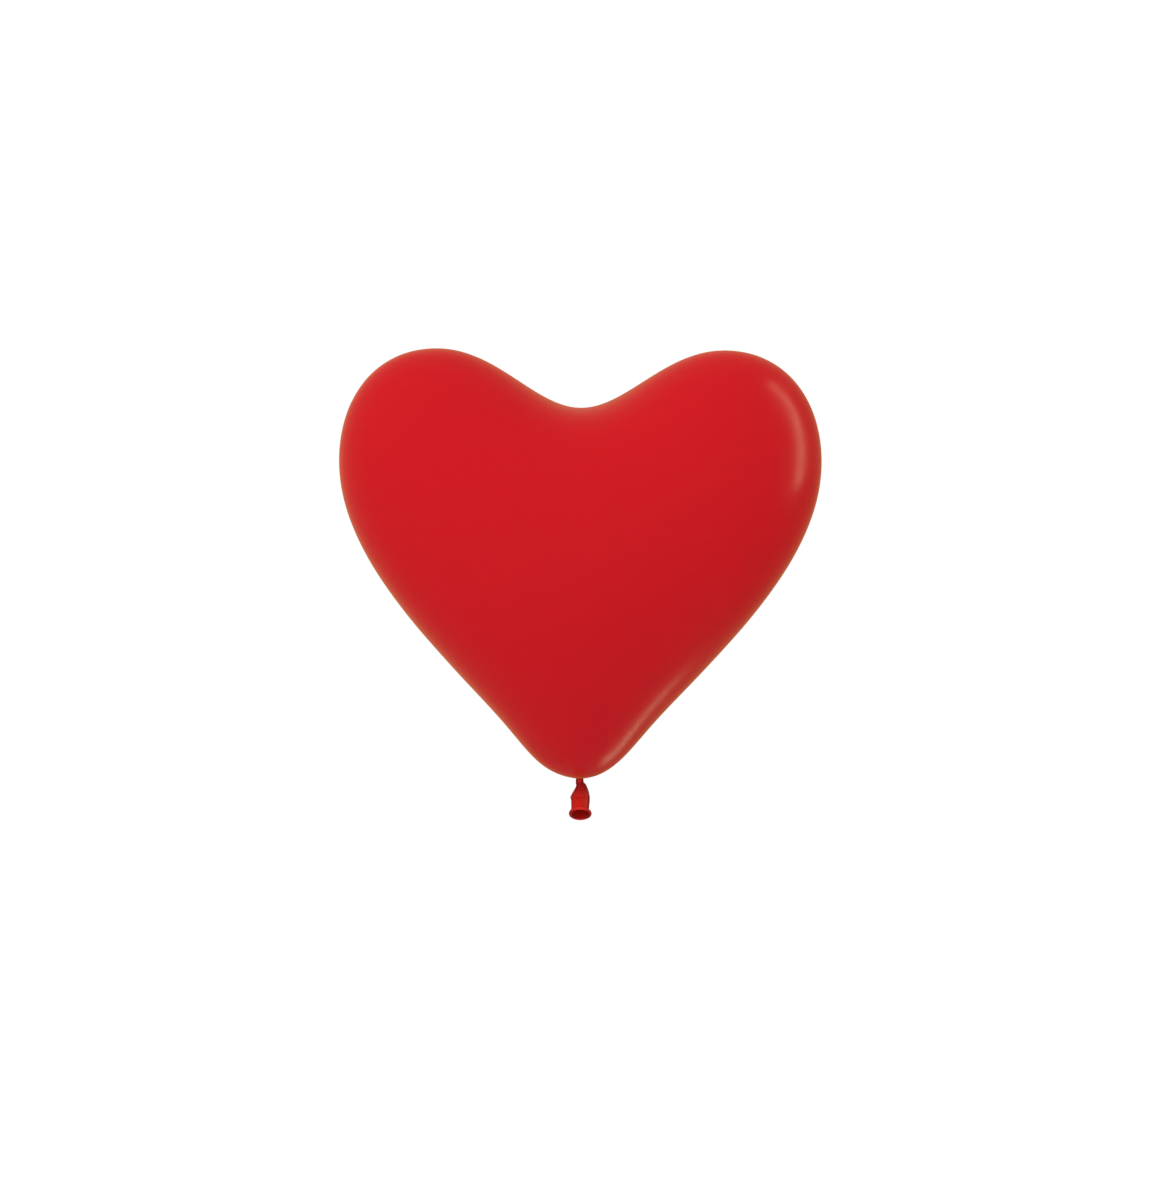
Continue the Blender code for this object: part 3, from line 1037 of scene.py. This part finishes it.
def add_strip(name, ends, facing, width, power, tint):
    """A narrow lamp between two ends that faces a point. It shows in the gloss only."""
    low, high = Vector(ends[0]), Vector(ends[1])
    middle = (low + high) / 2
    along = (high - low).normalized()
    back = (middle - Vector(facing)).normalized()
    across = along.cross(back).normalized()
    data = bpy.data.lights.new(name, "AREA")
    data.shape = "RECTANGLE"
    data.size = width
    data.size_y = (high - low).length
    data.energy = power
    data.color = tint
    lamp = bpy.data.objects.new(name, data)
    bpy.context.scene.collection.objects.link(lamp)
    lamp.matrix_world = Matrix((across, along, across.cross(along))).transposed().to_4x4()
    lamp.location = middle
    lamp.visible_camera = False
    lamp.visible_diffuse = False
    lamp.visible_transmission = False


class MakeStudio(BalloonOperator):
    """Make the camera, the pale floor, the white surroundings and the lamps"""

    bl_idname = "balloon.studio"
    bl_label = "Studio"

    def execute(self, context):
        sizes = context.scene.balloon_studio
        self.add_camera(context, sizes)
        self.add_floor(context, sizes)
        self.add_surroundings(context, sizes)
        add_strip(
            "upright_strip",
            ends=((1.3, 0.12, 0.1), (1.3, 0.2, 1.9)),
            facing=(0.13, -0.03, 0.22),
            width=0.2,
            power=44.0,
            tint=STRIP_TINT,
        )
        add_strip(
            "low_strip",
            ends=((0.28, 0.3, -0.56), (0.68, 0.52, -0.56)),
            facing=(0.03, -0.03, 0.03),
            width=0.12,
            power=3.4,
            tint=STRIP_TINT,
        )
        return {"FINISHED"}

    def add_camera(self, context, sizes):
        data = bpy.data.cameras.new("camera")
        data.lens = sizes.lens
        data.sensor_width = SENSOR_WIDTH
        data.dof.use_dof = False
        camera = bpy.data.objects.new("camera", data)
        context.scene.collection.objects.link(camera)
        camera.location = (sizes.camera_side, -sizes.distance, sizes.camera_height)
        camera.rotation_euler = (math.pi / 2, -sizes.roll, 0.0)
        context.scene.camera = camera

    def add_floor(self, context, sizes):
        """A round floor of matt paper, which the camera sees as plain white."""
        turns = np.linspace(0, 2 * math.pi, FLOOR_CORNERS, endpoint=False)
        rim = np.stack(
            (
                sizes.floor_radius * np.cos(turns),
                sizes.floor_radius * np.sin(turns) - sizes.floor_forward,
                np.full(FLOOR_CORNERS, -sizes.floor_drop),
            ),
            axis=-1,
        )
        mesh = bpy.data.meshes.new("floor")
        mesh.from_pydata(rim.tolist(), [], [tuple(range(FLOOR_CORNERS))])
        floor = bpy.data.objects.new("floor", mesh)
        context.scene.collection.objects.link(floor)
        material = bpy.data.materials.new("matt_paper")
        material.use_nodes = True
        tree = material.node_tree
        tree.nodes.clear()
        paper = add_node(
            tree, "ShaderNodeBsdfDiffuse", values={"Color": with_alpha(sizes.floor_colour)}
        )
        plain = add_node(tree, "ShaderNodeEmission", values={"Strength": PLAIN_WHITE})
        path = add_node(tree, "ShaderNodeLightPath")
        surface = add_node(
            tree,
            "ShaderNodeMixShader",
            links={
                0: path.outputs["Is Camera Ray"],
                1: paper.outputs["BSDF"],
                2: plain.outputs["Emission"],
            },
        )
        add_node(tree, "ShaderNodeOutputMaterial", links={"Surface": surface.outputs["Shader"]})
        mesh.materials.append(material)

    def add_surroundings(self, context, sizes):
        """White all round, brighter towards the key's side by the cosine of the angle to it.

        The camera sees them as plain white.
        """
        world = bpy.data.worlds.new("white_surroundings")
        world.use_nodes = True
        tree = world.node_tree
        tree.nodes.clear()
        key = (
            -math.sin(sizes.key_turn) * math.cos(sizes.key_rise),
            -math.cos(sizes.key_turn) * math.cos(sizes.key_rise),
            math.sin(sizes.key_rise),
        )
        direction = add_node(tree, "ShaderNodeTexCoord").outputs["Generated"]
        towards_key = add_node(
            tree,
            "ShaderNodeVectorMath",
            operation="DOT_PRODUCT",
            values={1: key},
            links={0: direction},
        )
        lit = add_node(
            tree,
            "ShaderNodeMath",
            operation="MULTIPLY_ADD",
            values={1: sizes.slope, 2: sizes.surround},
            links={0: towards_key.outputs["Value"]},
        )
        path = add_node(tree, "ShaderNodeLightPath")
        strength = add_node(
            tree,
            "ShaderNodeMix",
            values={3: PLAIN_WHITE},
            links={0: path.outputs["Is Camera Ray"], 2: lit.outputs["Value"]},
        )
        white = add_node(
            tree,
            "ShaderNodeBackground",
            values={"Color": (1.0, 1.0, 1.0, 1.0)},
            links={"Strength": strength.outputs[0]},
        )
        add_node(tree, "ShaderNodeOutputWorld", links={"Surface": white.outputs["Background"]})
        context.scene.world = world
        context.scene.view_settings.view_transform = "Standard"


# ---- The panel, and registering ----

PIECES = (
    MakeHeartFilm,
    MakeThroatRope,
    MakeKnotTurn,
    MakePleatedCone,
    MakeNeckSleeve,
    MakeMouthBead,
    MakeStudio,
)
GROUPS = {
    "balloon_body": BodySizes,
    "balloon_neck": NeckSizes,
    "balloon_finish": Finishes,
    "balloon_studio": StudioSizes,
}


class BalloonPanel(bpy.types.Panel):
    """The balloon's sizes, colours and pieces"""

    bl_idname = "VIEW3D_PT_heart_balloon"
    bl_label = "Heart balloon"
    bl_space_type = "VIEW_3D"
    bl_region_type = "UI"
    bl_category = "Heart balloon"

    def draw(self, context):
        for group_name, group in GROUPS.items():
            box = self.layout.box()
            for size in group.__annotations__:
                box.prop(getattr(context.scene, group_name), size)
        for piece in PIECES:
            self.layout.operator(piece.bl_idname)


def register():
    for group_name, group in GROUPS.items():
        bpy.utils.register_class(group)
        setattr(bpy.types.Scene, group_name, bpy.props.PointerProperty(type=group))
    for piece in PIECES:
        bpy.utils.register_class(piece)
    bpy.utils.register_class(BalloonPanel)


def unregister():
    bpy.utils.unregister_class(BalloonPanel)
    for piece in reversed(PIECES):
        bpy.utils.unregister_class(piece)
    for group_name, group in reversed(GROUPS.items()):
        delattr(bpy.types.Scene, group_name)
        bpy.utils.unregister_class(group)


def main():
    register()
    bpy.ops.balloon.heart_film()
    bpy.ops.balloon.throat_rope()
    bpy.ops.balloon.knot_turn()
    bpy.ops.balloon.pleated_cone()
    bpy.ops.balloon.neck_sleeve()
    bpy.ops.balloon.mouth_bead()
    bpy.ops.balloon.studio()


if __name__ == "__main__":
    main()
